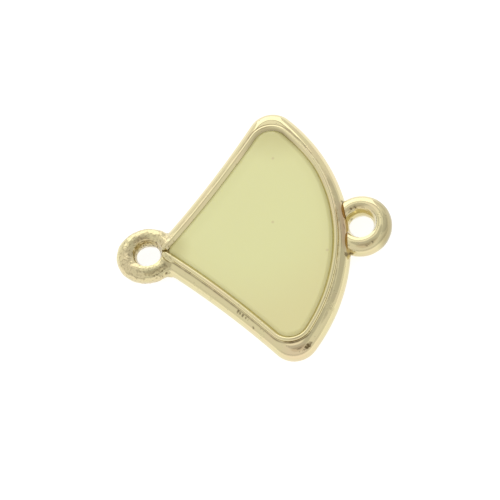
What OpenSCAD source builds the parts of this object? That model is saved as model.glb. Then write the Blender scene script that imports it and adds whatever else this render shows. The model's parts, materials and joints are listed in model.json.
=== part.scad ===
// Fan-shaped spacer connector: a flat glass fan in a cast brass setting with a loop at each end.
// Millimetres. The part lies on its flat back, +X runs from the loop at the point to the loop on the arc.

/* [Fan] */
// Reach of the lip's crest from the point of the fan to the middle of its arc
fan_reach = 10.65; // [9:0.05:13]
// Radius of the fan's arc, along the lip's crest
arc_r = 10.9; // [10:0.1:12]
// Angle between each side and the long axis, at the point
side_angle = 42.7; // [40:0.1:44]
// Radius of the hollow curve of each side
side_r = 64.5; // [50:0.5:90]
// Radius of the two far corners, along the lip's crest
crest_corner_r = 1.3; // [1:0.05:1.6]
// Radius of the two far corners, along the middle of the barrel
barrel_corner_r = 0.8; // [0.7:0.05:1]

/* [Setting] */
// Height of the lip's crest above the back
height = 1.8; // [1.7:0.05:2.2]
// Radius of the barrel-shaped outer wall
barrel_r = 0.72; // [0.66:0.02:0.76]
// Depth of the middle of the barrel below the lip's crest
barrel_drop = 0.94; // [0.9:0.01:0.98]
// Width of the raised lip around the stone
lip_w = 0.26; // [0.2:0.02:0.34]
// Thickness of the closed back under the stone
back_t = 0.5; // [0.4:0.05:0.7]
// Half width of the flat back beyond the lip's crest
back_edge = 0.35; // [0.25:0.05:0.4]
// Width of the slit between the two ends of the lip
slit_w = 0.18; // [0.12:0.02:0.3]
// How far the ends of the lip stay from the middle of the loop at the point
lip_end_r = 1.07; // [1:0.01:1.12]

/* [Loops] */
// Radius of the hole in the loop at the point
point_hole_r = 0.71; // [0.68:0.01:0.72]
// Radius of the ring's middle line, loop at the point
point_ring_r = 1.24; // [1.22:0.01:1.25]
// Radius of the ring's section, loop at the point
point_wire_r = 0.61; // [0.6:0.01:0.64]
// Distance of the point loop's middle in front of the point of the fan
point_loop_x = 0.94; // [0.9:0.01:0.96]
// How far the point loop sits to one side of the long axis
point_loop_y = 0.2; // [0:0.05:0.2]
// How far the point loop's hole is off the middle of its ring, towards the stone
point_hole_shift = 0.05; // [0:0.01:0.05]
// Radius of the hole in the loop on the arc
arc_hole_r = 0.73; // [0.7:0.01:0.74]
// Radius of the ring's middle line, loop on the arc
arc_ring_r = 1.33; // [1.31:0.01:1.34]
// Radius of the ring's section, loop on the arc
arc_wire_r = 0.66; // [0.65:0.01:0.68]
// Distance of the arc loop's middle beyond the lip's crest
arc_loop_x = 1.38; // [1.36:0.01:1.42]
// How far the arc loop sits to one side of the long axis
arc_loop_y = -0.1; // [-0.2:0.05:0]
// How far the arc loop's hole is off the middle of its ring, away from the stone
arc_hole_shift = 0.04; // [0:0.01:0.04]

/* [Stone] */
// Clearance between the stone and the metal around it
stone_gap = 0.03; // [0.02:0.01:0.05]
// Depth of the stone's flat face below the lip's crest
stone_drop = 0.08; // [0.06:0.02:0.3]
// Radius of the stone's soft upper edge
stone_edge_r = 0.2; // [0.1:0.02:0.24]
// Radius of the stone's rounded point
stone_tip_r = 0.6; // [0.3:0.05:0.8]

/* [Hidden] */
brass = "#D8C27A";
glass = "#DEDCA2";

// How many straight steps draw each curve
hole_fn = 96;
side_steps = 14;
corner_steps = 10;
arc_steps = 12;
ring_steps = 40;
wire_steps = 16;

// The barrel is drawn from the slanted underside to where the foot of the lip begins
barrel_from = -30;
barrel_to = 66;
barrel_step = 12;
lip_step = 30;
edge_step = 18;
lip_foot = 0.03;
foot_rise = 0.965;

// Half the width left at the point of the outlines inside the crest
tip_flat = 0.03;

barrel_z = height - barrel_drop;
stone_inset = lip_w / 2 + stone_gap;
stone_bottom = back_t + stone_gap;
stone_top = height - stone_drop;
arc_c = [fan_reach - arc_r, 0];
side_c = side_r * [-sin(side_angle), cos(side_angle)];
point_loop = [-point_loop_x, point_loop_y];
point_hole = point_loop + [point_hole_shift, 0];
arc_loop = [fan_reach + arc_loop_x, arc_loop_y];
arc_hole = arc_loop + [arc_hole_shift, 0];

// The outermost points of the two loops, and the shift that puts the origin midway between them
left_end = point_loop[0] - point_ring_r - point_wire_r;
right_end = arc_loop[0] + arc_ring_r + arc_wire_r;
to_origin = [-(left_end + right_end) / 2, 0, 0];

function unit(v) = v / norm(v);
function direction(v) = atan2(v[1], v[0]);

// Middle of the circle of radius r that touches the arc from inside and the side from outside
function corner_c(r) =
    let (
        reach = norm(side_c - arc_c),
        along = unit(side_c - arc_c),
        across = [along[1], -along[0]],
        a = (pow(arc_r - r, 2) - pow(side_r + r, 2) + pow(reach, 2)) / (2 * reach)
    )
    arc_c + a * along + sqrt(pow(arc_r - r, 2) - a * a) * across;

// Where the side, the corner and the arc meet, as angles around their own middles
function side_end(corner_r) = direction(corner_c(corner_r) - side_c);
function arc_end(corner_r) = direction(corner_c(corner_r) - arc_c);

// Where an outline drawn inset from the crest meets the long axis, rounded with radius r
function tip_x(inset, r) = side_c[0] + sqrt(pow(side_r + inset + r, 2) - pow(side_c[1], 2));

// Start of the side's curve: square across the point of the fan outside the crest, and inside it
// a little off the long axis, or where a rounded point begins
function side_start(inset, tip_r) =
    inset < 0 ? direction(-side_c)
    : direction([tip_x(inset, tip_r), 0] - side_c) + (tip_r > 0 ? 0 : tip_flat / side_r * 180 / PI);

// Points along an arc, without the last one
function arc_points(middle, r, from, to, steps) = [
    for (i = [0 : steps - 1])
        let (a = from + (to - from) * i / steps)
        middle + r * [cos(a), sin(a)]
];

// Points of the upper half of the outline drawn inwards by inset, from the point to the arc
function half_outline(inset, corner_r, tip_r) =
    let (
        corner = corner_c(corner_r),
        start = side_start(inset, tip_r),
        tip = [tip_x(inset, tip_r), 0]
    )
    concat(
        tip_r > 0 ? arc_points(tip, tip_r, 180, start + 180, corner_steps) : [],
        arc_points(side_c, side_r + inset, start, side_end(corner_r), side_steps),
        arc_points(corner, corner_r - inset, side_end(corner_r) + 180, arc_end(corner_r), corner_steps),
        arc_points(arc_c, arc_r - inset, arc_end(corner_r), 0, arc_steps)
    );

// The whole outline. A point that lies on the long axis isn't repeated by the mirrored half.
function outline(inset, corner_r, tip_r) =
    let (
        half = half_outline(inset, corner_r, tip_r),
        first = tip_r > 0 ? 1 : 0
    )
    concat(
        half,
        [arc_c + [arc_r - inset, 0]],
        [for (i = [len(half) - 1 : -1 : first]) [half[i][0], -half[i][1]]]
    );

// Triangles that fill an outline of count points, in strips between a point and its mirror image, because
// the hollow sides leave no single point that sees all the others. first is 1 if the outline starts on the axis.
function cap_faces(count, first) =
    let (middle = (count - 1 + first) / 2)
    concat(
        first == 1 ? [[0, 1, count - 1]] : [],
        [
            for (i = [first : middle - 2])
                let (j = count - 1 + first - i)
                each [[i, i + 1, j - 1], [i, j - 1, j]]
        ],
        [[middle - 1, middle, middle + 1]]
    );

// A closed solid through stacked outlines. Each row is [outwards, height, corner radius].
module stack(rows, tip_r = 0) {
    rings = [for (row = rows) outline(-row[0], row[2], tip_r)];
    count = len(rings[0]);
    last = len(rows) - 1;
    cap = cap_faces(count, tip_r > 0 ? 1 : 0);
    polyhedron(
        points = [for (k = [0 : last]) for (p = rings[k]) [p[0], p[1], rows[k][1]]],
        faces = concat(
            [for (face = cap) [face[2], face[1], face[0]]],
            [
                for (k = [0 : last - 1])
                    for (i = [0 : count - 1])
                        let (j = (i + 1) % count)
                        each [
                            [k * count + i, (k + 1) * count + j, (k + 1) * count + i],
                            [k * count + i, k * count + j, (k + 1) * count + j]
                        ]
            ],
            [for (face = cap) [for (i = face) last * count + i]]
        )
    );
}

// The wall's barrel, from the edge of the flat back over the widest line to the foot of the lip
barrel_rows = concat(
    [[back_edge, 0, barrel_corner_r]],
    [
        for (a = [barrel_from : barrel_step : barrel_to])
            [barrel_r * cos(a), barrel_z + barrel_r * sin(a), barrel_corner_r]
    ]
);

// The raised lip, from its foot over the crest and down to the floor under the stone
lip_rows = concat(
    [[lip_w / 2 + lip_foot, barrel_z + barrel_r * foot_rise, crest_corner_r]],
    [
        for (a = [0 : lip_step : 180])
            [lip_w / 2 * cos(a), height - lip_w / 2 * (1 - sin(a)), crest_corner_r]
    ],
    [[-lip_w / 2, back_t, crest_corner_r]]
);

// The stone's flank and its soft upper edge
stone_rows = concat(
    [[-stone_inset, stone_bottom, crest_corner_r]],
    [
        for (a = [0 : edge_step : 90])
            [
                -stone_inset - stone_edge_r * (1 - cos(a)),
                stone_top - stone_edge_r * (1 - sin(a)),
                crest_corner_r
            ]
    ]
);

// A closed solid around a circle, with a round section
module torus(ring_r, wire_r) {
    polyhedron(
        points = [
            for (i = [0 : ring_steps - 1], j = [0 : wire_steps - 1])
                let (
                    turn = 360 * i / ring_steps,
                    around = 360 * j / wire_steps,
                    r = ring_r + wire_r * cos(around)
                )
                [r * cos(turn), r * sin(turn), wire_r * sin(around)]
        ],
        faces = [
            for (i = [0 : ring_steps - 1], j = [0 : wire_steps - 1])
                let (
                    here = i * wire_steps,
                    there = (i + 1) % ring_steps * wire_steps,
                    up = (j + 1) % wire_steps
                )
                [here + j, here + up, there + up, there + j]
        ]
    );
}

// A loop's ring, cut off inside the wall that holds it
module ring(middle, ring_r, wire_r) {
    difference() {
        translate([middle[0], middle[1], barrel_z])
            torus(ring_r, wire_r);
        linear_extrude(height)
            polygon(outline(0, crest_corner_r, 0));
    }
}

module hole(middle, r) {
    translate([middle[0], middle[1], -height])
        cylinder(r = r, h = 3 * height, $fn = hole_fn);
}

// Room above the ring at the point, where the ends of the lip stop short of its hole
module lip_relief() {
    translate([point_hole[0], point_hole[1], barrel_z + point_wire_r / 2])
        cylinder(r = lip_end_r, h = height, $fn = hole_fn);
}

module slit() {
    translate([-lip_end_r, -slit_w / 2, barrel_z - slit_w])
        cube([2 * lip_end_r, slit_w, height]);
}

// The cast and soldered setting: back, wall and lip with both loops
module bezel_setting() {
    color(brass)
        translate(to_origin)
            difference() {
                union() {
                    difference() {
                        stack(concat(barrel_rows, lip_rows));
                        lip_relief();
                    }
                    ring(point_loop, point_ring_r, point_wire_r);
                    ring(arc_loop, arc_ring_r, arc_wire_r);
                }
                slit();
                hole(point_hole, point_hole_r);
                hole(arc_hole, arc_hole_r);
            }
}

// The flat glass, with a soft upper edge and a rounded point
module glass_stone() {
    color(glass)
        translate(to_origin)
            stack(stone_rows, stone_tip_r);
}

bezel_setting();
glass_stone();
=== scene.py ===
"""A fan-shaped spacer connector: a pale glass fan in a gold-tone setting, with a loop at each end."""

import json
import math

import bpy
from bpy.props import FloatProperty, FloatVectorProperty, PointerProperty
from mathutils import Matrix, Vector


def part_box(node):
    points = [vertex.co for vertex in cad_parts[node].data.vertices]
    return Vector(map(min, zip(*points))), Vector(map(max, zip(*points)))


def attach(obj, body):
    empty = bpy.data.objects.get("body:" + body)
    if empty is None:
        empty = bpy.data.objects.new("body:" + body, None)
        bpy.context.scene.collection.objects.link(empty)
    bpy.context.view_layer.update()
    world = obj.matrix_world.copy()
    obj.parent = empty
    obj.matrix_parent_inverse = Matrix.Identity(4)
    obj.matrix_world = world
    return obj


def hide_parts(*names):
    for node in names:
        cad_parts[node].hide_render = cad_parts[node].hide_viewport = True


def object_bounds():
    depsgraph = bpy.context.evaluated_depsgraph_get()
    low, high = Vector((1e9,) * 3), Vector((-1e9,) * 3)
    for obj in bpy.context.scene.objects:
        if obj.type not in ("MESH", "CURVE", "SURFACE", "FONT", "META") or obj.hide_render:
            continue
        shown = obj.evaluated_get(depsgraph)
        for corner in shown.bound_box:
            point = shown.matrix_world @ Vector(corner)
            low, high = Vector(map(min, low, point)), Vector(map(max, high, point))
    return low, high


bl_info = {
    "name": "Fan Connector",
    "version": (1, 0, 0),
    "blender": (4, 5, 0),
    "location": "3D View > Sidebar > Fan Connector",
    "description": "Models a fan-shaped jewellery connector and sets it on a pale studio floor",
    "category": "Add Mesh",
}

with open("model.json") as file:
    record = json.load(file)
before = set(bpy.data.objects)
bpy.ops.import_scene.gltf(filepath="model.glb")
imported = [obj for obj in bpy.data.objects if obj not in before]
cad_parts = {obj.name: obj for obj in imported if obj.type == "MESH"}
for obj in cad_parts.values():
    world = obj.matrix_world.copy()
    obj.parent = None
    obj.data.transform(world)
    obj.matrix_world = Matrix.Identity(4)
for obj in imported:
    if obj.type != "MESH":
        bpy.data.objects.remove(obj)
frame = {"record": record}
CAD_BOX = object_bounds()
SETTING_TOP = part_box("bezel_setting")[1].z
STONE_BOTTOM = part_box("glass_stone")[0].z
MOUNTS = {mount["name"]: mount["pos_m"] for mount in frame["record"]["mounts"]}

# Pieces are shaped a thousand times life size, in millimetres, and made life size when they are finished:
# edit tools merge and cut with steps that are too coarse for a lip a quarter of a millimetre wide
BENCH = 1000.0
NEAR = 0.0005
UP = (0.0, 0.0, 1.0)
ACROSS = (0.0, 1.0, 0.0)

# The middles of the two holes on the bench. The fan's own point lies behind the first, by a length in metres
POINT_HOLE, ARC_HOLE = (Vector(MOUNTS[name]) * BENCH for name in ("point_loop", "arc_loop"))
LOOP_HOLE_FROM_POINT = 0.00089
POINT_X = BENCH * (MOUNTS["point_loop"][0] + LOOP_HOLE_FROM_POINT)

# In metres: the room under the stone, and the room under the whole part, so that its flat back and the
# floor don't share one plane
STONE_GAP = 0.00003
FLOOR_GAP = 0.00001

# Steps that draw each stretch of the fan's outline
ARC_STEPS, CORNER_STEPS, SIDE_STEPS, POINT_STEPS = 44, 14, 44, 10

# All places and lengths in the tables below are on the bench.
# The lip and the stone lie a little further in at the far corners:
# where, which way, within what distance in full, and over what distance it fades
EASES = (
    ((3.3, -6.0, 1.6), (-0.10, 0.05, 0.0), 2.0, 8.0),
    ((1.9, 7.0, 1.6), (-0.09, -0.14, 0.0), 0.8, 3.5),
)

# Webs between the ring at the point and the wall, and how far round them the mesh is smoothed
WEBS = ((-5.20, 1.10, 0.80), (-5.30, -0.98, 0.80))
WEB_RADIUS = 0.42
WEB_REACH = 0.62

# Unevenness of the cast surfaces: how deep, and how far from one swelling to the next
ROUGH_CAST = (0.06, 0.5)
GRAINY_CAST = (0.018, 0.16)
WEB_CAST = (0.04, 0.3)
SMOOTH_CAST = (0.02, 0.6)

# Specks on the glass
DUST = ((1.71, 4.91, 1.74), (1.26, 0.70, 1.74), (4.32, -1.72, 1.74))

# Casting faults in the metal: middle, full radius and outer radius of each
PITS = (
    ((2.21, -7.81, 1.43), 0.02, 0.10),
    ((2.32, -7.74, 1.44), 0.06, 0.15),
    ((2.43, -7.66, 1.44), 0.09, 0.17),
    ((2.55, -7.57, 1.44), 0.09, 0.17),
    ((2.66, -7.47, 1.43), 0.05, 0.13),
    ((-1.46, -4.71, 1.49), 0.03, 0.11),
    ((-1.34, -4.84, 1.49), 0.03, 0.12),
    ((-1.20, -5.00, 1.48), 0.04, 0.12),
    ((-1.05, -5.20, 1.48), 0.02, 0.11),
    ((-0.92, -5.36, 1.46), 0.01, 0.09),
    ((-0.66, -5.90, 1.38), 0.01, 0.12),
    ((6.72, -1.68, 1.45), 0.01, 0.09),
    ((7.04, -1.54, 1.47), 0.01, 0.10),
)

# Dark marks where the loops join the wall, in the same way
JOINT_MARKS = (
    ((-6.45, -1.40, 1.33), 0.00, 0.07),
    ((-6.34, -1.40, 1.33), 0.00, 0.08),
    ((-6.22, -1.38, 1.33), 0.00, 0.09),
    ((-6.08, -1.34, 1.33), 0.01, 0.09),
    ((-5.96, -1.29, 1.33), 0.01, 0.10),
    ((-5.84, -1.22, 1.34), 0.01, 0.10),
    ((-5.72, -1.14, 1.35), 0.01, 0.10),
    ((-5.60, -1.05, 1.35), 0.01, 0.09),
    ((-5.76, -1.41, 1.10), 0.01, 0.10),
    ((-5.52, -1.26, 1.12), 0.02, 0.12),
    ((5.39, -2.00, 1.35), 0.08, 0.20),
    ((5.65, -1.90, 1.03), 0.06, 0.20),
    ((5.60, -1.52, 1.47), 0.01, 0.09),
    ((5.52, 1.51, 1.27), 0.06, 0.18),
    ((6.26, 0.95, 1.46), 0.03, 0.14),
    ((6.00, 0.86, 1.45), 0.01, 0.10),
    ((5.95, 0.42, 0.98), 0.03, 0.15),
)

# Broader marks, in the same way: painted shade in the hollow beside the ring at the point, a frosted spot,
# two blushes of warmer plate, and painted shade in the lip's creases at the lower and the upper corner
VALLEY_SHADE = ((-5.40, -0.80, 1.42), 0.10, 0.42)
FROSTED_SPOT = ((4.13, -5.36, 1.42), 0.15, 0.45)
BLUSHES = (((1.75, -7.75, 1.4), 0.35, 0.9), ((5.5, -0.4, 1.2), 0.3, 0.9))
LOWER_CREASE_SHADE = ((2.0, -7.1, 1.55), 0.35, 1.1)
UPPER_CREASE_SHADE = ((1.6, 6.9, 1.6), 0.9, 2.8)

# A painted highlight makes the glass lightest round its heart, and painted shade darkens its upper corner and
# its tip
GLASS_HIGHLIGHT = ((0.0, 1.5, 1.7), 2.5, 8.0)
GLASS_CORNER_SHADE = ((2.0, 6.9, 1.7), 0.5, 2.6)
GLASS_TIP_SHADE = ((-5.2, 0.0, 1.7), 0.4, 1.6)


def length(name, description, default):
    """A size in metres, shown in the scene's own units."""
    return FloatProperty(name=name, description=description, default=default, unit="LENGTH", precision=5)


def rotation(name, description, degrees):
    """An angle, given here in degrees."""
    return FloatProperty(name=name, description=description, default=math.radians(degrees), unit="ROTATION")


def ratio(name, description, default):
    """A number that a size is multiplied by."""
    return FloatProperty(name=name, description=description, default=default, precision=3)


def colour(name, description, default):
    """A linear colour with a picker."""
    return FloatVectorProperty(
        name=name, description=description, default=default, subtype="COLOR", size=3, min=0.0, max=1.0
    )


def factor(name, description, default):
    """A share from nothing to full."""
    return FloatProperty(
        name=name, description=description, default=default, subtype="FACTOR", min=0.0, max=1.0
    )


class FanSizes(bpy.types.PropertyGroup):
    """The fan's outline, along the crest of the lip."""

    reach: length("Reach", "From the point of the fan to the middle of its arc", 0.01065)
    arc_radius: length("Arc radius", "Radius of the fan's arc", 0.0109)
    side_angle: rotation("Side angle", "Angle between a side and the long axis", 42.7)
    side_radius: length("Side radius", "Radius of the hollow curve of each side", 0.0645)
    lip_corner: length("Lip corner", "Radius of the far corners of the lip", 0.0013)
    wall_corner: length("Wall corner", "Radius of the far corners along the top of the wall", 0.0008)
    point_round: length("Point radius", "Radius of the wall's top at the point of the fan", 0.00017)


class SettingSizes(bpy.types.PropertyGroup):
    """The barrel wall, the lip, the slit and the back."""

    barrel_radius: length("Barrel radius", "Radius of the barrel-shaped outer wall", 0.00072)
    barrel_drop: length("Barrel drop", "Depth of the middle of the barrel below the lip's crest", 0.00094)
    lip_width: length("Lip width", "Width of the raised lip", 0.00026)
    lip_inner: length("Lip inner", "Where the lip's inner slope ends, inwards from its crest", 0.00022)
    lip_tuck: length("Lip tuck", "How far the lip's foot reaches over the stone's edge", 0.000035)
    lip_slope: rotation("Lip slope", "Slant of the lip's inner face", 45)
    lip_foot: length("Lip foot", "Where the hollow at the lip's foot ends, outwards from its crest", 0.00023)
    back_edge: length("Back edge", "Reach of the flat back beyond the lip's crest", 0.00035)
    lip_end: length("Lip end", "How far the rounded ends of the lip stop short of the point", 0.00019)
    nose_length: length("Nose length", "Length of the rounding at the ends of the lip", 0.00016)
    nose_place: length("Nose place", "From the fan's point to the lip's thickened ends", 0.00058)
    nose_width: length("Nose width", "Width of the lip's thickened ends", 0.00054)
    nose_height: length("Nose height", "Half height of the lip's thickened ends", 0.00027)
    slit_width: length("Slit width", "Width of the slit between the ends of the lip", 0.00013)
    relief_radius: length("Relief", "Where the wall starts to drop towards the hole at the point", 0.001)


class LoopSizes(bpy.types.PropertyGroup):
    """The two rings. Their holes come from the frame's mounts."""

    point_ring: length("Point ring", "Radius of the middle line of the ring at the point", 0.00124)
    point_wire: length("Point wire", "Radius of the section of the ring at the point", 0.00061)
    point_shift: length("Point shift", "How far its hole lies off the ring's middle", 0.00005)
    point_long: ratio("Point long", "How much longer than round the ring is", 1.035)
    point_wide: ratio("Point wide", "How much wider than round the ring is", 0.95)
    point_waist: length("Point waist", "Radius of the hole at the point, where it is narrowest", 0.000715)
    point_rim: length("Point rim", "Radius of the hole at the point, at its upper rim", 0.00090)
    point_rim_height: length("Point rim height", "Height of that rim over the hole's middle", 0.00048)
    arc_ring: length("Arc ring", "Radius of the middle line of the ring on the arc", 0.00133)
    arc_wire: length("Arc wire", "Radius of the section of the ring on the arc", 0.00066)
    arc_shift: length("Arc shift", "How far its hole lies off the ring's middle", 0.00004)
    arc_long: ratio("Arc long", "How much longer than round the ring is", 0.95)
    arc_wide: ratio("Arc wide", "How much wider than round the ring is", 0.98)
    leg_start: length("Leg start", "Where this ring's legs begin, outwards from the lip's crest", 0.00060)
    arc_waist: length("Arc waist", "Radius of the hole on the arc, where it is narrowest", 0.00074)
    arc_rim: length("Arc rim", "Radius of the hole on the arc, at its upper rim", 0.00100)
    arc_rim_height: length("Arc rim height", "Height of that rim over the hole's middle", 0.00058)


class StoneSizes(bpy.types.PropertyGroup):
    """The flat glass fan."""

    gap: length("Gap", "Clearance between the stone and the lip", 0.00001)
    edge_radius: length("Edge radius", "Radius of the stone's soft upper edge", 0.000015)
    face_drop: length("Face drop", "Depth of the flat face below the lip's crest", 0.00006)
    slope_width: length("Slope width", "Width of the polished slope round the flat face", 0.000225)
    slope_depth: length("Slope depth", "Fall of the polished slope round the flat face", 0.000129)
    point_round: length("Point radius", "Radius of the stone's rounded point", 0.0004)


class Finishes(bpy.types.PropertyGroup):
    """Colours of the metal and the glass."""

    gold: colour("Gold", "Colour of the pale gold plate", (0.68, 0.605, 0.34))
    warm_gold: colour("Warm gold", "Colour where the plate is thin", (0.70, 0.575, 0.35))
    solder: colour("Solder", "Colour of the solder at the foot of the loop on the arc", (0.60, 0.42, 0.25))
    throat: colour("Throat", "Colour of the rough metal inside the hole at the point", (0.60, 0.50, 0.27))
    # This colour is used both for dirt and for painted shade in the creases and hollows
    dirt_and_shade: colour("Dirt", "Colour of the tarnish in the creases", (0.14, 0.095, 0.03))
    glass: colour("Glass", "Colour of the body of the glass", (0.755, 0.697, 0.345))
    # Painted highlight: the lightest glass, round its heart
    glass_highlight: colour("Glass glow", "Colour of the lightest part of the glass", (0.775, 0.768, 0.385))
    # Painted shade: the glass near its edges, at its upper corner and at its tip
    glass_edge_shade: colour("Glass edge", "Colour of the glass near its edges", (0.47, 0.42, 0.155))
    dust: colour("Dust", "Colour of the specks on the glass", (0.55, 0.42, 0.25))


class StageLook(bpy.types.PropertyGroup):
    """The camera's angle and the floor."""

    azimuth: rotation("Azimuth", "Camera's place round the part", 12.35)
    elevation: rotation("Elevation", "Camera's height above the floor", 63.37)
    roll: rotation("Roll", "Turn of the camera about its own line of sight", 20.26)
    distance: length("Distance", "From the camera to the part", 0.6)
    view_width: length("View width", "Width of the picture at the part", 0.02997)
    aim: FloatVectorProperty(
        name="Aim", description="Point in the middle of the picture", default=(-0.000384, -0.000492, 0.0009),
        subtype="TRANSLATION", unit="LENGTH", size=3,
    )
    floor_light: factor("Floor", "Lightness of the floor", 0.42)


# Editing helpers


def deselect_all():
    """Selects nothing."""
    bpy.ops.object.select_all(action="DESELECT")


def only(piece):
    """Makes a piece the active one and the only one selected."""
    deselect_all()
    piece.select_set(True)
    bpy.context.view_layer.objects.active = piece


def start_vertex(name, place):
    """Adds a plane, merges it to one vertex at a place and stays in edit mode."""
    deselect_all()
    bpy.ops.mesh.primitive_plane_add(size=1.0)
    piece = bpy.context.object
    piece.name = piece.data.name = name
    bpy.ops.object.mode_set(mode="EDIT")
    bpy.ops.mesh.select_mode(type="VERT")
    bpy.ops.mesh.select_all(action="SELECT")
    bpy.ops.mesh.merge(type="CENTER")
    bpy.ops.transform.translate(value=place)
    return piece


def turn(angle, middle, axis, steps):
    """Spins what is selected about a middle, by the right-hand rule. The spin tool turns the other way."""
    bpy.ops.mesh.spin(steps=steps, angle=-angle, center=middle, axis=axis)


def pull(move):
    """Extrudes what is selected and moves it."""
    bpy.ops.mesh.extrude_region_move(TRANSFORM_OT_translate={"value": move})


def select_where(piece, test, kind="VERT"):
    """Selects the vertices that pass a test, or the edges whose ends both pass it, and stays in edit mode."""
    bpy.ops.object.mode_set(mode="EDIT")
    bpy.ops.mesh.select_mode(type=kind)
    bpy.ops.mesh.select_all(action="DESELECT")
    bpy.ops.object.mode_set(mode="OBJECT")
    mesh = piece.data
    for vertex in mesh.vertices:
        vertex.select = kind == "VERT" and test(vertex.co)
    if kind == "EDGE":
        for edge in mesh.edges:
            edge.select = all(test(mesh.vertices[end].co) for end in edge.vertices)
    bpy.ops.object.mode_set(mode="EDIT")


def apply_modifier(piece, kind, **settings):
    """Adds a modifier with its settings and applies it."""
    bpy.ops.object.mode_set(mode="OBJECT")
    only(piece)
    bpy.ops.object.modifier_add(type=kind)
    modifier = piece.modifiers[-1]
    for name, value in settings.items():
        setattr(modifier, name, value)
    bpy.ops.object.modifier_apply(modifier=modifier.name)


def combine(piece, other, operation):
    """Joins a piece with another or cuts it with it. The other one is then deleted."""
    apply_modifier(piece, "BOOLEAN", object=other, operation=operation, solver="EXACT")
    if not piece.data.polygons:
        raise RuntimeError(f"nothing is left of {piece.name} after {operation} with {other.name}")
    only(other)
    bpy.ops.object.delete()
    only(piece)


def settle_transform():
    """Puts the active object's place, turn and scale into its mesh, and returns it."""
    bpy.ops.object.transform_apply(location=True, rotation=True, scale=True)
    return bpy.context.object


def tidy_mesh(piece):
    """Merges doubles and turns every face outwards."""
    bpy.ops.object.mode_set(mode="OBJECT")
    only(piece)
    bpy.ops.object.mode_set(mode="EDIT")
    bpy.ops.mesh.select_all(action="SELECT")
    bpy.ops.mesh.remove_doubles(threshold=NEAR)
    bpy.ops.mesh.normals_make_consistent(inside=False)
    bpy.ops.object.mode_set(mode="OBJECT")


def close_level(piece, height):
    """Fills the open edge loop that lies at one height."""
    select_where(piece, lambda place: abs(place.z - height) < NEAR, "EDGE")
    bpy.ops.mesh.edge_face_add()
    bpy.ops.object.mode_set(mode="OBJECT")


def make_life_size(piece):
    """Scales a finished piece from the bench to metres, with its place in its mesh."""
    bpy.ops.object.mode_set(mode="OBJECT")
    only(piece)
    piece.scale = (1.0 / BENCH,) * 3
    settle_transform()


def uneven_cast(piece, depth, spacing):
    """Displaces a cast surface a little, so that reflections waver."""
    texture = bpy.data.textures.new("cast_unevenness", "CLOUDS")
    texture.noise_scale = spacing
    texture.noise_depth = 1
    apply_modifier(
        piece, "DISPLACE", texture=texture, strength=depth, mid_level=0.5, texture_coords="LOCAL"
    )
    bpy.data.textures.remove(texture)


# The fan's outline: three arcs that touch, mirrored in the long axis


def direction(vector):
    """A vector's angle in plan."""
    return math.atan2(vector.y, vector.x)


class FanPath:
    """The upper half of the fan, on the bench, from the middle of the arc round to the point.

    A section that stands on the arc's middle is spun round arc, corner and side, at its distances from them.
    """

    def __init__(self, fan, corner, point_round):
        self.arc_r, self.side_r = BENCH * fan.arc_radius, BENCH * fan.side_radius
        self.corner_r = BENCH * corner
        point = Vector((POINT_X, 0.0, 0.0))
        self.reach = POINT_X + BENCH * fan.reach
        self.arc_middle = Vector((self.reach - self.arc_r, 0.0, 0.0))
        self.side_middle = point + self.side_r * Vector(
            (-math.sin(fan.side_angle), math.cos(fan.side_angle), 0.0)
        )
        between = self.side_middle - self.arc_middle
        along = between.normalized()
        across = Vector((along.y, -along.x, 0.0))
        inner, outer = self.arc_r - self.corner_r, self.side_r + self.corner_r
        part = (inner**2 - outer**2 + between.length_squared) / (2 * between.length)
        self.corner_middle = self.arc_middle + part * along + math.sqrt(inner**2 - part**2) * across
        self.arc_end = direction(self.corner_middle - self.arc_middle)
        self.side_end = direction(self.corner_middle - self.side_middle)
        tip_reach = math.sqrt((self.side_r + BENCH * point_round) ** 2 - self.side_middle.y**2)
        self.tip_middle = Vector((self.side_middle.x + tip_reach, 0.0, 0.0))
        self.side_start = direction(self.tip_middle - self.side_middle)
        self.side_zero = direction(point - self.side_middle)

    def sweep(self, stop=None):
        """Spins what is selected from the arc's middle to the point, or only to an angle on the side."""
        turn(self.arc_end, self.arc_middle, UP, ARC_STEPS)
        turn(self.side_end + math.pi - self.arc_end, self.corner_middle, UP, CORNER_STEPS)
        if stop is None:
            turn(self.side_start - self.side_end, self.side_middle, UP, SIDE_STEPS)
            turn(-self.side_start, self.tip_middle, UP, POINT_STEPS)
        else:
            turn(stop - self.side_end, self.side_middle, UP, SIDE_STEPS)


def mirror_halves(piece):
    """Mirrors a half across the long axis and merges the seam."""
    apply_modifier(
        piece, "MIRROR", use_axis=(False, True, False), use_mirror_merge=True, merge_threshold=NEAR,
        use_clip=False,
    )


def sweep_solid(piece, path, levels):
    """Spins a section round the fan, mirrors it and closes it at its open levels."""
    bpy.ops.mesh.select_all(action="SELECT")
    path.sweep()
    mirror_halves(piece)
    for level in levels:
        close_level(piece, level)
    tidy_mesh(piece)


def ease_in(piece):
    """Eases the far corners of a piece inwards with a soft fall-off."""
    for spot, shift, full, fade in EASES:
        middle = Vector(spot)
        select_where(piece, lambda place: (place - middle).length < full)
        bpy.ops.transform.translate(
            value=shift, use_proportional_edit=True, proportional_edit_falloff="SMOOTH",
            proportional_size=fade,
        )
    bpy.ops.object.mode_set(mode="OBJECT")


# The setting


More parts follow.
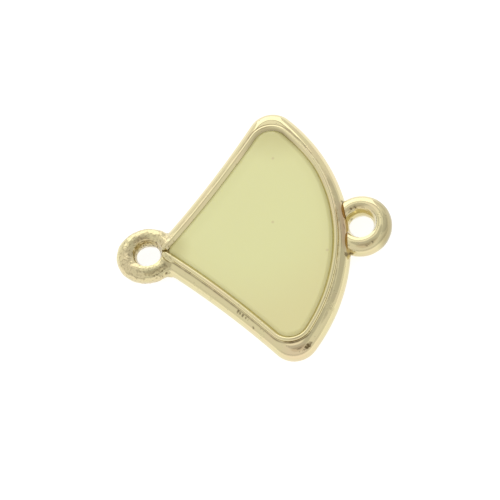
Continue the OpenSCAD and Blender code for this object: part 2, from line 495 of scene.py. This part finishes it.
def wall_and_back(fan, sizes):
    """The barrel-shaped wall with the closed back, solid up to the shelf that the lip stands on."""
    path = FanPath(fan, fan.wall_corner, fan.point_round)
    radius = BENCH * sizes.barrel_radius
    middle_z = BENCH * (SETTING_TOP - sizes.barrel_drop)
    under = math.radians(30)
    soft_edge = 0.08
    barrel_end = Vector((path.reach + radius * math.cos(under), 0.0, middle_z - radius * math.sin(under)))
    corner = Vector((path.reach + BENCH * sizes.back_edge, 0.0, 0.0))
    slope = corner - barrel_end
    edge = slope * (soft_edge / slope.length)
    down = slope - edge
    # The edge of the flat back is rounded off in two facets
    first_facet = Vector((0.62 * edge.x - 0.012, 0.0, 0.7 * edge.z))
    second_facet = slope - down - first_facet - Vector((soft_edge, 0.0, 0.0))
    wall = start_vertex("wall_and_back", (path.reach, 0.0, middle_z + radius))
    turn(math.pi / 2 + under, (path.reach, 0.0, middle_z), ACROSS, steps=24)
    for move in (down, first_facet, second_facet):
        pull(move)
    sweep_solid(wall, path, (middle_z + radius, 0.0))
    return wall


def stone_pocket(fan):
    """The room for the stone, out to below the lip's crest, to cut out of the wall."""
    sharp_point = 0.0001
    path = FanPath(fan, fan.lip_corner, sharp_point)
    floor, height = BENCH * (STONE_BOTTOM - STONE_GAP), BENCH * SETTING_TOP
    pocket = start_vertex("stone_pocket", (path.reach, 0.0, floor))
    pull((0.0, 0.0, height))
    sweep_solid(pocket, path, (floor, floor + height))
    return pocket


def point_relief(sizes):
    """A cone that lets the wall drop towards the hole at the point."""
    margin, flare = 0.3, 0.55
    low, high = POINT_HOLE.z + margin, BENCH * SETTING_TOP + margin
    radius = BENCH * sizes.relief_radius
    deselect_all()
    bpy.ops.mesh.primitive_cone_add(
        vertices=128, radius1=radius, radius2=radius + flare * (high - low), depth=high - low,
        location=(POINT_HOLE.x, POINT_HOLE.y, (low + high) / 2),
    )
    return bpy.context.object


def lip_section(path, sizes, half, top):
    """The lip's section on the arc: tucked foot, slanted inner face, round crest and hollow outer foot."""
    slant, inner, tuck = sizes.lip_slope, BENCH * sizes.lip_inner, BENCH * sizes.lip_tuck
    crest_x, crest_z = -half * math.sin(slant), top + half * math.cos(slant)
    slope_z = crest_z - (inner + crest_x) * math.tan(slant)
    tuck_z = slope_z - tuck * math.tan(math.radians(30))
    hollow = BENCH * sizes.lip_foot - half
    # The root reaches below the stone, and the outer foot sinks into the shelf, so that both join the wall
    root, sunk, skirt = 0.1, 0.035, 0.06
    low = BENCH * STONE_BOTTOM - root
    foot_z = BENCH * (SETTING_TOP - sizes.barrel_drop + sizes.barrel_radius) - sunk
    strand = start_vertex("lip", (path.reach - inner + tuck, 0.0, low))
    pull((0.0, 0.0, tuck_z - low))
    pull((-tuck, 0.0, slope_z - tuck_z))
    pull((inner + crest_x, 0.0, crest_z - slope_z))
    turn(math.pi / 2 + slant, (path.reach, 0.0, top), ACROSS, steps=14)
    pull((0.0, 0.0, foot_z + hollow - top))
    turn(-math.pi / 2, (path.reach + half + hollow, 0.0, foot_z + hollow), ACROSS, steps=6)
    pull((0.02, 0.0, -skirt))
    pull((-hollow - 0.06, 0.0, low - foot_z + skirt))
    bpy.ops.object.mode_set(mode="OBJECT")
    ends = {0, len(strand.data.vertices) - 1}
    for index, vertex in enumerate(strand.data.vertices):
        vertex.select = index in ends
    bpy.ops.object.mode_set(mode="EDIT")
    bpy.ops.mesh.edge_face_add()
    bpy.ops.mesh.select_all(action="SELECT")
    return strand


def round_nose(path, stop, nose, half, top):
    """Rounds the end of the lip's strand over the length of its nose."""
    end = path.side_middle + path.side_r * Vector((math.cos(stop), math.sin(stop), 0.0))
    step = Vector((math.sin(stop), -math.cos(stop), 0.0))
    width, height, gone = 1.0, 1.0, 0.0
    for degrees in (18, 36, 52, 66, 78, 86):
        bend = math.radians(degrees)
        pull(step * nose * (math.sin(bend) - gone))
        gone = math.sin(bend)
        middle = end + step * nose * gone
        narrow, lower = math.cos(bend) / width, (1 - half * (1 - math.cos(bend)) / top) / height
        bpy.ops.transform.resize(value=(narrow, narrow, lower), center_override=(middle.x, middle.y, 0.0))
        width, height = math.cos(bend), height * lower


def lip(fan, sizes):
    """The raised lip: one strand round the stone, with a rounded nose at each end."""
    path = FanPath(fan, fan.lip_corner, fan.point_round)
    half, nose = BENCH * sizes.lip_width / 2, BENCH * sizes.nose_length
    top = BENCH * SETTING_TOP - half
    stop = path.side_zero + (BENCH * sizes.lip_end + nose) / path.side_r
    strand = lip_section(path, sizes, half, top)
    path.sweep(stop)
    bpy.ops.mesh.edge_face_add()
    round_nose(path, stop, nose, half, top)
    mirror_halves(strand)
    tidy_mesh(strand)
    ease_in(strand)
    return strand


def broad_nose(fan, sizes, side):
    """The thickened end of the lip on one side of the slit, like the folded end of a bezel strip."""
    away, high = BENCH * sizes.nose_place, BENCH * sizes.nose_height
    heading = fan.side_angle * side
    outward = Vector((-math.sin(fan.side_angle), math.cos(fan.side_angle) * side, 0.0))
    place = Vector((POINT_X, 0.0, BENCH * SETTING_TOP - high)) + 0.05 * outward
    place += away * Vector((math.cos(heading), math.sin(heading), 0.0))
    deselect_all()
    bpy.ops.mesh.primitive_uv_sphere_add(
        segments=48, ring_count=28, radius=1.0, location=place, rotation=(0.0, 0.0, heading),
        scale=(0.95 * away, BENCH * sizes.nose_width / 2, high),
    )
    return settle_transform()


def relax(piece, spots, reach, times):
    """Smooths the mesh round some spots, so that a joint reads as one casting."""
    select_where(piece, lambda place: any((place - Vector(spot)).length < reach for spot in spots))
    bpy.ops.mesh.vertices_smooth(factor=0.5, repeat=times)
    bpy.ops.object.mode_set(mode="OBJECT")


def ring(name, hole, ring_radius, wire_radius, shift, long, wide):
    """A loop's ring, before its hole is drilled."""
    deselect_all()
    bpy.ops.mesh.primitive_torus_add(
        location=hole - Vector((BENCH * shift, 0.0, 0.0)), major_radius=BENCH * ring_radius,
        minor_radius=BENCH * wire_radius, major_segments=144, minor_segments=56,
    )
    made = bpy.context.object
    made.name = name
    made.scale = (long, wide, 1.0)
    return settle_transform()


def web(place):
    """A rounded web that fills a corner between a ring and the wall."""
    deselect_all()
    bpy.ops.mesh.primitive_uv_sphere_add(
        segments=40, ring_count=24, radius=1.0, location=place, scale=(WEB_RADIUS,) * 3
    )
    made = settle_transform()
    uneven_cast(made, *WEB_CAST)
    return made


def drill(hole, waist, rim, rim_height):
    """A cutter for a loop's hole: narrowest halfway down, and wider towards both ends as a cast hole is."""
    waist, rim, rim_height = BENCH * waist, BENCH * rim, BENCH * rim_height
    end = 2.0
    cutter = start_vertex("drill", hole - Vector((0.0, 0.0, end)))
    # How far out from the hole's axis, and how far above its middle
    for reach, height in (
        (waist + 0.12, -end),
        (waist + 0.12, -0.5),
        (waist, -0.06),
        (waist, 0.04),
        (0.4 * rim + 0.6 * waist, 0.24),
        (rim, rim_height),
        (rim + 0.06, end),
        (0.0, end),
    ):
        bpy.ops.object.mode_set(mode="OBJECT")
        last = next(vertex.co.copy() for vertex in cutter.data.vertices if vertex.select)
        bpy.ops.object.mode_set(mode="EDIT")
        pull(hole + Vector((reach, 0.0, height)) - last)
    bpy.ops.mesh.select_all(action="SELECT")
    turn(2 * math.pi, hole, UP, steps=128)
    tidy_mesh(cutter)
    return cutter


def trim_legs(made, fan, reach):
    """Cuts a ring's legs off square where they stand against the wall, above the wall's shoulder."""
    path = FanPath(fan, fan.wall_corner, fan.point_round)
    shoulder, high = 1.0, 3.0
    deselect_all()
    bpy.ops.mesh.primitive_cylinder_add(
        vertices=720, radius=path.arc_r + BENCH * reach, depth=high - shoulder,
        location=path.arc_middle + Vector((0.0, 0.0, (shoulder + high) / 2)),
    )
    combine(made, bpy.context.object, "DIFFERENCE")


def slit_cutter(sizes):
    """A thin blade for the slit between the lip's ends, a little askew as in the real piece."""
    blade_length, back, aside, above, askew = 1.1, 0.1, 0.035, 0.85, -0.17
    deselect_all()
    bpy.ops.mesh.primitive_cube_add(
        size=1.0, location=(POINT_X - back, aside, POINT_HOLE.z + above), rotation=(0.0, 0.0, askew)
    )
    bpy.context.object.scale = (blade_length, BENCH * sizes.slit_width, 1.0)
    return settle_transform()


def point_loop(loops):
    """The small loop at the point, with a rough cast skin and no hole yet."""
    made = ring(
        "point_ring", POINT_HOLE, loops.point_ring, loops.point_wire, loops.point_shift, loops.point_long,
        loops.point_wide,
    )
    uneven_cast(made, *ROUGH_CAST)
    uneven_cast(made, *GRAINY_CAST)
    return made


def arc_loop(fan, loops):
    """The loop on the arc, a drilled ring with its legs cut off square against the wall."""
    made = ring(
        "arc_ring", ARC_HOLE, loops.arc_ring, loops.arc_wire, loops.arc_shift, loops.arc_long,
        loops.arc_wide,
    )
    uneven_cast(made, *SMOOTH_CAST)
    combine(made, drill(ARC_HOLE, loops.arc_waist, loops.arc_rim, loops.arc_rim_height), "DIFFERENCE")
    trim_legs(made, fan, loops.leg_start)
    return made


# The stone


def glass_fan(fan, sizes, inset):
    """The flat glass fan: upright side, soft edge, polished slope and flat face."""
    path = FanPath(fan, fan.lip_corner, inset + sizes.point_round)
    side_x, edge = path.reach - BENCH * inset, BENCH * sizes.edge_radius
    bottom, top = BENCH * STONE_BOTTOM, BENCH * (SETTING_TOP - sizes.face_drop)
    wide, deep = BENCH * sizes.slope_width, BENCH * sizes.slope_depth
    tilt = math.atan2(deep, wide)
    edge_z = top - deep - edge
    run = wide - edge * (1 - math.sin(tilt))
    rise = deep + edge * (1 - math.cos(tilt))
    stone = start_vertex("stone", (side_x, 0.0, bottom))
    pull((0.0, 0.0, edge_z - bottom))
    turn(tilt - math.pi / 2, (side_x - edge, 0.0, edge_z), ACROSS, steps=6)
    # The slope flattens out into the face over its last stretches
    for inwards, upwards in ((0.9 * run, 0.93), (0.1 * run, 0.05), (0.05, 0.02)):
        pull((-inwards, 0.0, upwards * rise))
    sweep_solid(stone, path, (bottom, top))
    ease_in(stone)
    return stone


def finish_piece(piece, name, node, material):
    """Makes a piece life size, names it and lets it stand for its node."""
    tidy_mesh(piece)
    make_life_size(piece)
    only(piece)
    bpy.ops.object.shade_smooth_by_angle(angle=math.radians(38))
    piece.name = piece.data.name = name
    piece.data.materials.clear()
    piece.data.materials.append(material)
    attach(piece, "root")
    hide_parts(node)


# Materials, whose masks are worked out in millimetres


class Wire:
    """A node's output. Arithmetic on wires and numbers adds the Math nodes that work it out."""

    def __init__(self, tree, socket=None):
        self.tree = tree
        self.socket = socket

    def node(self, kind, settings, inputs, output=0):
        """Adds any node: its settings first, then the values or wires of its sockets."""
        made = self.tree.nodes.new(kind)
        for name, value in settings.items():
            setattr(made, name, value)
        for name, value in inputs.items():
            if isinstance(value, Wire):
                self.tree.links.new(value.socket, made.inputs[name])
            else:
                made.inputs[name].default_value = value
        return Wire(self.tree, made.outputs[output]) if made.outputs else None

    def maths(self, operation, *values):
        """Adds a Math node."""
        return self.node("ShaderNodeMath", {"operation": operation}, dict(enumerate(values)))

    def __add__(self, other):
        return self.maths("ADD", self, other)

    def __radd__(self, other):
        return self.maths("ADD", other, self)

    def __sub__(self, other):
        return self.maths("SUBTRACT", self, other)

    def __rsub__(self, other):
        return self.maths("SUBTRACT", other, self)

    def __mul__(self, other):
        return self.maths("MULTIPLY", self, other)

    def __rmul__(self, other):
        return self.maths("MULTIPLY", other, self)

    def __pow__(self, other):
        return self.maths("POWER", self, other)

    def smooth(self, low, high):
        """Nothing below low, full above high, and soft in between."""
        return self.node(
            "ShaderNodeMapRange",
            {"interpolation_type": "SMOOTHSTEP"},
            {"Value": self, "From Min": low, "From Max": high},
        )

    def near(self, centre, spread):
        """Full at a value and nothing past a spread on either side."""
        return 1 - self.maths("ABSOLUTE", self - centre).smooth(0.0, spread)


def total(wires):
    """The sum of some wires."""
    first, *others = wires
    return sum(others, first)


def mix_colour(wire, share, first, second):
    """One colour blending into another by a share. The Mix node's colours are its sockets 6 and 7."""
    first, second = (paint if isinstance(paint, Wire) else (*paint, 1.0) for paint in (first, second))
    return wire.node("ShaderNodeMix", {"data_type": "RGBA"}, {0: share, 6: first, 7: second}, output=2)


def new_finish(name):
    """An empty material and a wire to build it with."""
    material = bpy.data.materials.new(name)
    material.use_nodes = True
    material.node_tree.nodes.clear()
    return material, Wire(material.node_tree)


def close_finish(wire, sockets):
    """Adds the shader with its sockets, and the output."""
    shader = wire.node("ShaderNodeBsdfPrincipled", {}, sockets)
    wire.node("ShaderNodeOutputMaterial", {}, {"Surface": shader})


def place_on_piece(wire):
    """Object coordinates in millimetres, as a vector and as three numbers."""
    metres = wire.node("ShaderNodeTexCoord", {}, {}, output=3)
    place = wire.node("ShaderNodeVectorMath", {"operation": "SCALE"}, {0: metres, "Scale": BENCH})
    return place, [wire.node("ShaderNodeSeparateXYZ", {}, {0: place}, axis) for axis in range(3)]


def distance_to(wire, place, spot):
    """Distance from a spot on the part."""
    return wire.node("ShaderNodeVectorMath", {"operation": "DISTANCE"}, {0: place, 1: spot}, output=1)


def noise(wire, place, scale, detail):
    """A noise that swells this many times in a millimetre."""
    return wire.node("ShaderNodeTexNoise", {}, {"Vector": place, "Scale": scale, "Detail": detail})


def relief(wire, height, strength):
    """A normal that follows a height, three hundredths of a millimetre deep."""
    return wire.node("ShaderNodeBump", {}, {"Strength": strength, "Distance": 0.00003, "Height": height})


def eased(wire, place, x, y):
    """Where a point of the lip or the stone lay before they were eased in, as two wires."""
    for spot, shift, full, fade in EASES:
        share = 1 - distance_to(wire, place, spot).smooth(full, full + fade)
        x, y = x - shift[0] * share, y - shift[1] * share
    return x, y


class FanDistances:
    """Distances outwards from the lip's crest, as wires."""

    def __init__(self, wire, fan, x, y):
        path = FanPath(fan, fan.lip_corner, fan.point_round)
        tall = wire.maths("ABSOLUTE", y)
        from_x, from_y = x - path.side_middle.x, y - path.side_middle.y
        tall_y = tall - path.side_middle.y
        self.arc = ((x - path.arc_middle.x) ** 2.0 + y**2.0) ** 0.5 - path.arc_r
        self.upper_side = path.side_r - (from_x**2.0 + from_y**2.0) ** 0.5
        side = path.side_r - (from_x**2.0 + tall_y**2.0) ** 0.5
        corner = path.corner_middle
        corner_x, corner_y = x - corner.x, tall - corner.y
        to_arc = (corner - path.arc_middle).normalized()
        to_side = (path.side_middle - corner).normalized()
        past_arc = corner_y * to_arc.x - corner_x * to_arc.y
        past_side = corner_x * to_side.y - corner_y * to_side.x
        in_corner = past_arc.smooth(-0.01, 0.01) * past_side.smooth(-0.01, 0.01)
        straight = wire.maths("MAXIMUM", self.arc, side)
        rounded = (corner_x**2.0 + corner_y**2.0) ** 0.5 - path.corner_r
        self.crest = straight + in_corner * (rounded - straight)


class CastSkin:
    """Noises and marks of the cast metal, as wires. It is rough on the loop at the point and in its hole."""

    def __init__(self, wire, place):
        self.wire, self.place = wire, place
        from_point = distance_to(wire, place, POINT_HOLE)
        self.loop = 1 - from_point.smooth(1.7, 2.1)
        self.throat = 1 - from_point.smooth(0.85, 1.15)
        self.rough = 0.5 * self.loop + 0.5 * self.throat
        self.waves = noise(wire, place, scale=0.8, detail=1.0)
        self.broken = noise(wire, place, scale=2.4, detail=2.0)
        self.grain = noise(wire, place, scale=7.0, detail=3.0)
        cells = wire.node("ShaderNodeTexVoronoi", {"feature": "F1"}, {"Vector": place, "Scale": 5.0})
        pitted = noise(wire, place, scale=1.1, detail=1.0).smooth(0.52, 0.66)
        self.pores = (1 - cells.smooth(0.08, 0.28)) * pitted
        self.pits = total(self.patch(*mark) for mark in (*PITS, *JOINT_MARKS))
        self.frost = self.patch(*FROSTED_SPOT) * self.grain.smooth(0.42, 0.6)

    def patch(self, spot, inner, outer):
        """Full inside a spot and nothing beyond it, with a ragged edge."""
        ragged = distance_to(self.wire, self.place, spot) + 0.25 * (self.grain - 0.5)
        return 1 - ragged.smooth(inner, outer)


def gold_stains_and_shade(skin, distances, x, z):
    """Painted shade in the crease at the lip's foot, along its inner slope at the upper corner, and on the
    outer side of the loop on the arc; also a broken dark line round that loop and a faint dark line beside
    its foot.
    """
    out = distances.crest
    from_hole = distance_to(skin.wire, skin.place, ARC_HOLE)
    on_ring = distance_to(skin.wire, skin.place, ARC_HOLE + Vector((0.0, 0.0, 0.55)))
    on_arc = distances.arc.smooth(-0.6, 0.0)
    # Painted shade: the crease at the lip's outer foot, and the line along the lip's inner slope
    crease_shade = out.near(0.19, 0.10) * z.near(1.56, 0.09)
    inner_slope_shade = out.near(-0.17, 0.15)
    return total(
        (
            crease_shade * (0.5 + 0.2 * skin.broken.smooth(0.4, 0.6) - 0.45 * on_arc),
            0.8 * crease_shade * skin.patch(*LOWER_CREASE_SHADE),
            0.45 * (inner_slope_shade + crease_shade) * skin.patch(*UPPER_CREASE_SHADE),
            0.45 * on_ring.near(1.0, 0.05) * skin.broken.smooth(0.45, 0.6),
            # Painted shade on the outer side of the loop on the arc
            0.48 * on_ring.smooth(1.45, 1.75) * (x - ARC_HOLE.x).smooth(0.7, 1.4),
            0.08 * out.near(0.55, 0.07) * z.near(1.2, 0.3) * (1 - from_hole.smooth(1.4, 2.0)),
        )
    )


def gold_specks_and_shade(skin):
    """Dirt in the pores, in the throat of the hole at the point and on its loop, and in single marks, with
    painted shade in the hollow beside the ring at the point.
    """
    throat = skin.throat * skin.grain.smooth(0.48, 0.66)
    loop = skin.loop * (0.07 + 0.34 * skin.grain.smooth(0.53, 0.66))
    # The valley mark is painted shade in the hollow beside the ring at the point
    marks = 0.75 * skin.pits + 0.35 * skin.patch(*VALLEY_SHADE) + 0.12 * skin.frost
    return 0.35 * skin.pores + 0.45 * throat + loop + marks


def gold_finish(fan, look):
    """Pale gold plate on a polished casting: soft waves, fine pits, and painted shade in the creases and on
    the loop on the arc.
    """
    material, wire = new_finish("pale_gold")
    place, (x, y, z) = place_on_piece(wire)
    distances = FanDistances(wire, fan, *eased(wire, place, x, y))
    skin = CastSkin(wire, place)
    patchy = noise(wire, place, scale=0.7, detail=2.0).smooth(0.42, 0.68)
    blush = total(skin.patch(*mark) for mark in BLUSHES)
    thin = wire.maths("MINIMUM", 0.5 * patchy + 0.6 * blush, 1.0)
    plate = mix_colour(wire, thin, look.gold, look.warm_gold)
    near_hole = 1 - distance_to(wire, place, ARC_HOLE).smooth(1.6, 2.2)
    solder = distances.crest.near(0.46, 0.30) * z.smooth(0.6, 1.0) * near_hole
    soldered = mix_colour(wire, solder * (0.5 + 0.4 * skin.broken), plate, look.solder)
    worn = mix_colour(wire, 0.7 * skin.throat, soldered, look.throat)
    # Dirt and marks together with painted shade in the creases, in the hollow beside the ring at the point
    # and on the loop on the arc
    grime_and_shade = wire.maths("MINIMUM", gold_stains_and_shade(skin, distances, x, z) + gold_specks_and_shade(skin), 1.0)
    polish = 0.05 + 0.05 * skin.grain.smooth(0.3, 0.8)
    faults = 0.2 * skin.pores + 0.25 * skin.frost + 0.2 * skin.pits
    swells = skin.waves + 0.22 * skin.broken + 0.04 * skin.grain + 1.3 * skin.rough * skin.grain
    dents = 0.5 * skin.pores + 0.6 * skin.pits - 0.7 * skin.frost
    close_finish(
        wire,
        {
            "Base Color": mix_colour(wire, grime_and_shade, worn, look.dirt_and_shade),
            "Metallic": 1.0,
            "Roughness": polish + 0.17 * skin.rough + faults,
            "Normal": relief(wire, swells - dents, 0.6),
            "Coat Weight": 0.5,
        },
    )
    return material


def glass_finish(fan, look):
    """Pale olive-yellow milky glass with a painted highlight at its heart, painted shade towards its edges,
    its upper corner and its tip, and a few specks on its face.
    """
    material, wire = new_finish("milky_glass")
    place, (x, y, _) = place_on_piece(wire)
    distances = FanDistances(wire, fan, *eased(wire, place, x, y))

    def away_from(spot, inner, outer):
        """Nothing near a spot and full beyond it."""
        return distance_to(wire, place, spot).smooth(inner, outer)

    # Painted shade on the glass along the upper side and the upper part of the arc, on the slopes and near
    # the edges, and at the upper corner and the tip
    shaded_arc = y.smooth(-5.0, 1.5)
    side_slope_shade = 0.28 * distances.upper_side.smooth(-0.47, -0.36)
    arc_slope_shade = distances.arc.smooth(-0.50, -0.36) * (0.03 + 0.22 * shaded_arc)
    near_side_shade = 0.10 * distances.upper_side.smooth(-1.3, -0.3)
    near_arc_shade = 0.08 * distances.arc.smooth(-1.1, -0.3) * shaded_arc
    ends = 0.3 * (1 - away_from(*GLASS_CORNER_SHADE)) + 0.45 * (1 - away_from(*GLASS_TIP_SHADE))
    dark = wire.maths("MINIMUM", side_slope_shade + arc_slope_shade + near_side_shade + near_arc_shade + ends, 1.0)
    # Painted highlight: the glass is lightest round its heart
    body = mix_colour(wire, away_from(*GLASS_HIGHLIGHT), look.glass_highlight, look.glass)
    edge_shaded = mix_colour(wire, dark, body, look.glass_edge_shade)
    dust = total(1 - away_from(spot, 0.02, 0.13) for spot in DUST)
    close_finish(
        wire,
        {
            "Base Color": mix_colour(wire, 0.4 * dust, edge_shaded, look.dust),
            "Roughness": 0.16,
            "IOR": 1.5,
            "Subsurface Weight": 0.15,
            "Subsurface Radius": (0.8, 0.8, 0.4),
            "Subsurface Scale": 0.0005,
            "Normal": relief(wire, noise(wire, place, scale=0.35, detail=1.0), 0.2),
        },
    )
    return material


def floor_finish(look):
    """A plain pale floor with a trace of paper grain."""
    material, wire = new_finish("pale_floor")
    place, _ = place_on_piece(wire)
    paper = noise(wire, place, scale=0.05, detail=2.0)
    light = look.floor_light
    close_finish(
        wire,
        {
            "Base Color": mix_colour(wire, paper, (light,) * 3, (light + 0.03,) * 3),
            "Roughness": 0.75,
            "Emission Color": (1.0, 1.0, 1.0, 1.0),
            "Emission Strength": 0.80,
        },
    )
    return material


# Stage


def studio_world():
    """Soft light from all round, with the pale and dark parts that the polished metal mirrors."""
    world = bpy.data.worlds.new("studio")
    bpy.context.scene.world = world
    world.use_nodes = True
    world.node_tree.nodes.clear()
    wire = Wire(world.node_tree)
    ray = wire.node("ShaderNodeTexCoord", {}, {})
    y, z = (wire.node("ShaderNodeSeparateXYZ", {}, {0: ray}, axis) for axis in (1, 2))

    def toward(place, wide, narrow):
        """Full within a narrow angle of a direction and nothing beyond a wide one, in degrees."""
        along = Vector(place).normalized()
        share = wire.node("ShaderNodeVectorMath", {"operation": "DOT_PRODUCT"}, {0: ray, 1: along}, output=1)
        return share.smooth(math.cos(math.radians(wide)), math.cos(math.radians(narrow)))

    photographer = (0.096, -0.438, 0.894)
    left_back = toward((-0.6, 0.75, 0.25), 36.0, 26.0)
    crest_light = toward((-0.096, 0.438, 0.894), 13.0, 8.0)
    dark_right = toward((0.74, 0.30, 0.60), 26.0, 21.0)
    dark_top = toward((0.10, -0.02, 0.995), 25.0, 21.0)
    camera_side = toward(photographer, 26.0, 19.0)
    lens = toward(photographer, 9.0, 6.0)
    seam = z.near(0.24, 0.06) * (0.0 - y).smooth(0.1, 0.6)
    frame_line = z.near(0.79, 0.03) * y.smooth(0.25, 0.45)
    lights = 0.95 + 0.12 * left_back + 0.2 * crest_light
    shadows = 0.27 * dark_right + 0.26 * dark_top + 0.12 * camera_side + 0.3 * lens
    strength = lights - shadows - 0.45 * seam - 0.4 * frame_line
    tint = mix_colour(wire, camera_side, (1.0, 1.0, 1.0), (1.0, 0.95, 0.90))
    light = wire.node("ShaderNodeBackground", {}, {"Color": tint, "Strength": strength})
    wire.node("ShaderNodeOutputWorld", {}, {"Surface": light})


def soft_box(name, place, size, power):
    """A broad area light that faces the part."""
    deselect_all()
    bpy.ops.object.light_add(type="AREA", location=place)
    lamp = bpy.context.object
    lamp.name = name
    lamp.data.shape = "RECTANGLE"
    lamp.data.size, lamp.data.size_y = size
    lamp.data.energy = power
    lamp.rotation_euler = (-Vector(place)).to_track_quat("-Z", "Y").to_euler()


def studio_camera(look):
    """A long lens at the photograph's angle, rolled about its line of sight."""
    level = Vector((math.cos(look.azimuth), math.sin(look.azimuth), 0.0))
    low, high = math.cos(look.elevation), math.sin(look.elevation)
    back = Vector((low * level.y, -low * level.x, high))
    right = Matrix.Rotation(-look.roll, 3, back) @ level
    up = back.cross(right)
    deselect_all()
    bpy.ops.object.camera_add(location=Vector(look.aim) + look.distance * back)
    camera = bpy.context.object
    camera.name = "camera"
    camera.rotation_euler = Matrix((right, up, back)).transposed().to_euler()
    camera.data.sensor_width = 36.0
    camera.data.lens = camera.data.sensor_width * look.distance / look.view_width
    camera.data.clip_start = 0.01
    camera.data.clip_end = 10.0
    bpy.context.scene.camera = camera


# Operators, one for each piece and one for the stage


class FANCONNECTOR_OT_setting(bpy.types.Operator):
    """Model the cast setting: back, wall and lip with both loops"""

    bl_idname = "fan_connector.setting"
    bl_label = "Cast Setting"

    def execute(self, context):
        scene = context.scene
        fan, sizes, loops = scene.fan_sizes, scene.setting_sizes, scene.loop_sizes
        setting = wall_and_back(fan, sizes)
        combine(setting, stone_pocket(fan), "DIFFERENCE")
        combine(setting, point_relief(sizes), "DIFFERENCE")
        combine(setting, lip(fan, sizes), "UNION")
        for side in (1, -1):
            combine(setting, broad_nose(fan, sizes, side), "UNION")
        combine(setting, point_loop(loops), "UNION")
        for place in WEBS:
            combine(setting, web(place), "UNION")
        relax(setting, WEBS, WEB_REACH, times=12)
        combine(setting, arc_loop(fan, loops), "UNION")
        combine(setting, slit_cutter(sizes), "DIFFERENCE")
        for hole, waist, rim, rim_height in (
            (POINT_HOLE, loops.point_waist, loops.point_rim, loops.point_rim_height),
            (ARC_HOLE, loops.arc_waist, loops.arc_waist, loops.arc_rim_height),
        ):
            combine(setting, drill(hole, waist, rim, rim_height), "DIFFERENCE")
        finish_piece(setting, "setting", "bezel_setting", gold_finish(fan, scene.finishes))
        return {"FINISHED"}


class FANCONNECTOR_OT_stone(bpy.types.Operator):
    """Model the flat glass fan with its soft upper edge"""

    bl_idname = "fan_connector.stone"
    bl_label = "Glass Stone"

    def execute(self, context):
        scene = context.scene
        fan, setting, sizes = scene.fan_sizes, scene.setting_sizes, scene.stone_sizes
        stone = glass_fan(fan, sizes, setting.lip_inner - setting.lip_tuck + sizes.gap)
        finish_piece(stone, "stone", "glass_stone", glass_finish(fan, scene.finishes))
        return {"FINISHED"}


class FANCONNECTOR_OT_stage(bpy.types.Operator):
    """Set the pale floor, the soft lights and the camera"""

    bl_idname = "fan_connector.stage"
    bl_label = "Studio Stage"

    def execute(self, context):
        scene = context.scene
        look = scene.stage_look
        deselect_all()
        bpy.ops.mesh.primitive_plane_add(size=4.0, location=(0.0, 0.0, CAD_BOX[0].z - FLOOR_GAP))
        floor = context.object
        floor.name = "floor"
        floor.data.materials.append(floor_finish(look))
        studio_world()
        soft_box("back_light", place=(-0.04, 0.55, 0.26), size=(0.5, 0.52), power=0.67)
        studio_camera(look)
        scene.view_settings.view_transform = "Standard"
        return {"FINISHED"}


class FANCONNECTOR_PT_panel(bpy.types.Panel):
    """Lists the pieces and the stage in the 3D view's sidebar"""

    bl_label = "Fan Connector"
    bl_space_type = "VIEW_3D"
    bl_region_type = "UI"
    bl_category = "Fan Connector"

    def draw(self, context):
        for group_name, operator in (
            ("fan_sizes", None),
            ("setting_sizes", "fan_connector.setting"),
            ("loop_sizes", None),
            ("stone_sizes", "fan_connector.stone"),
            ("finishes", None),
            ("stage_look", "fan_connector.stage"),
        ):
            box = self.layout.box()
            group = getattr(context.scene, group_name)
            for name in group.__annotations__:
                box.prop(group, name)
            if operator:
                box.operator(operator)


GROUPS = {
    "fan_sizes": FanSizes,
    "setting_sizes": SettingSizes,
    "loop_sizes": LoopSizes,
    "stone_sizes": StoneSizes,
    "finishes": Finishes,
    "stage_look": StageLook,
}
CLASSES = (
    *GROUPS.values(),
    FANCONNECTOR_OT_setting,
    FANCONNECTOR_OT_stone,
    FANCONNECTOR_OT_stage,
    FANCONNECTOR_PT_panel,
)


def register():
    for cls in CLASSES:
        bpy.utils.register_class(cls)
    for name, group in GROUPS.items():
        setattr(bpy.types.Scene, name, PointerProperty(type=group))


def unregister():
    for name in GROUPS:
        delattr(bpy.types.Scene, name)
    for cls in reversed(CLASSES):
        bpy.utils.unregister_class(cls)


def main():
    register()
    bpy.ops.fan_connector.stone()
    bpy.ops.fan_connector.setting()
    bpy.ops.fan_connector.stage()


if __name__ == "__main__":
    main()
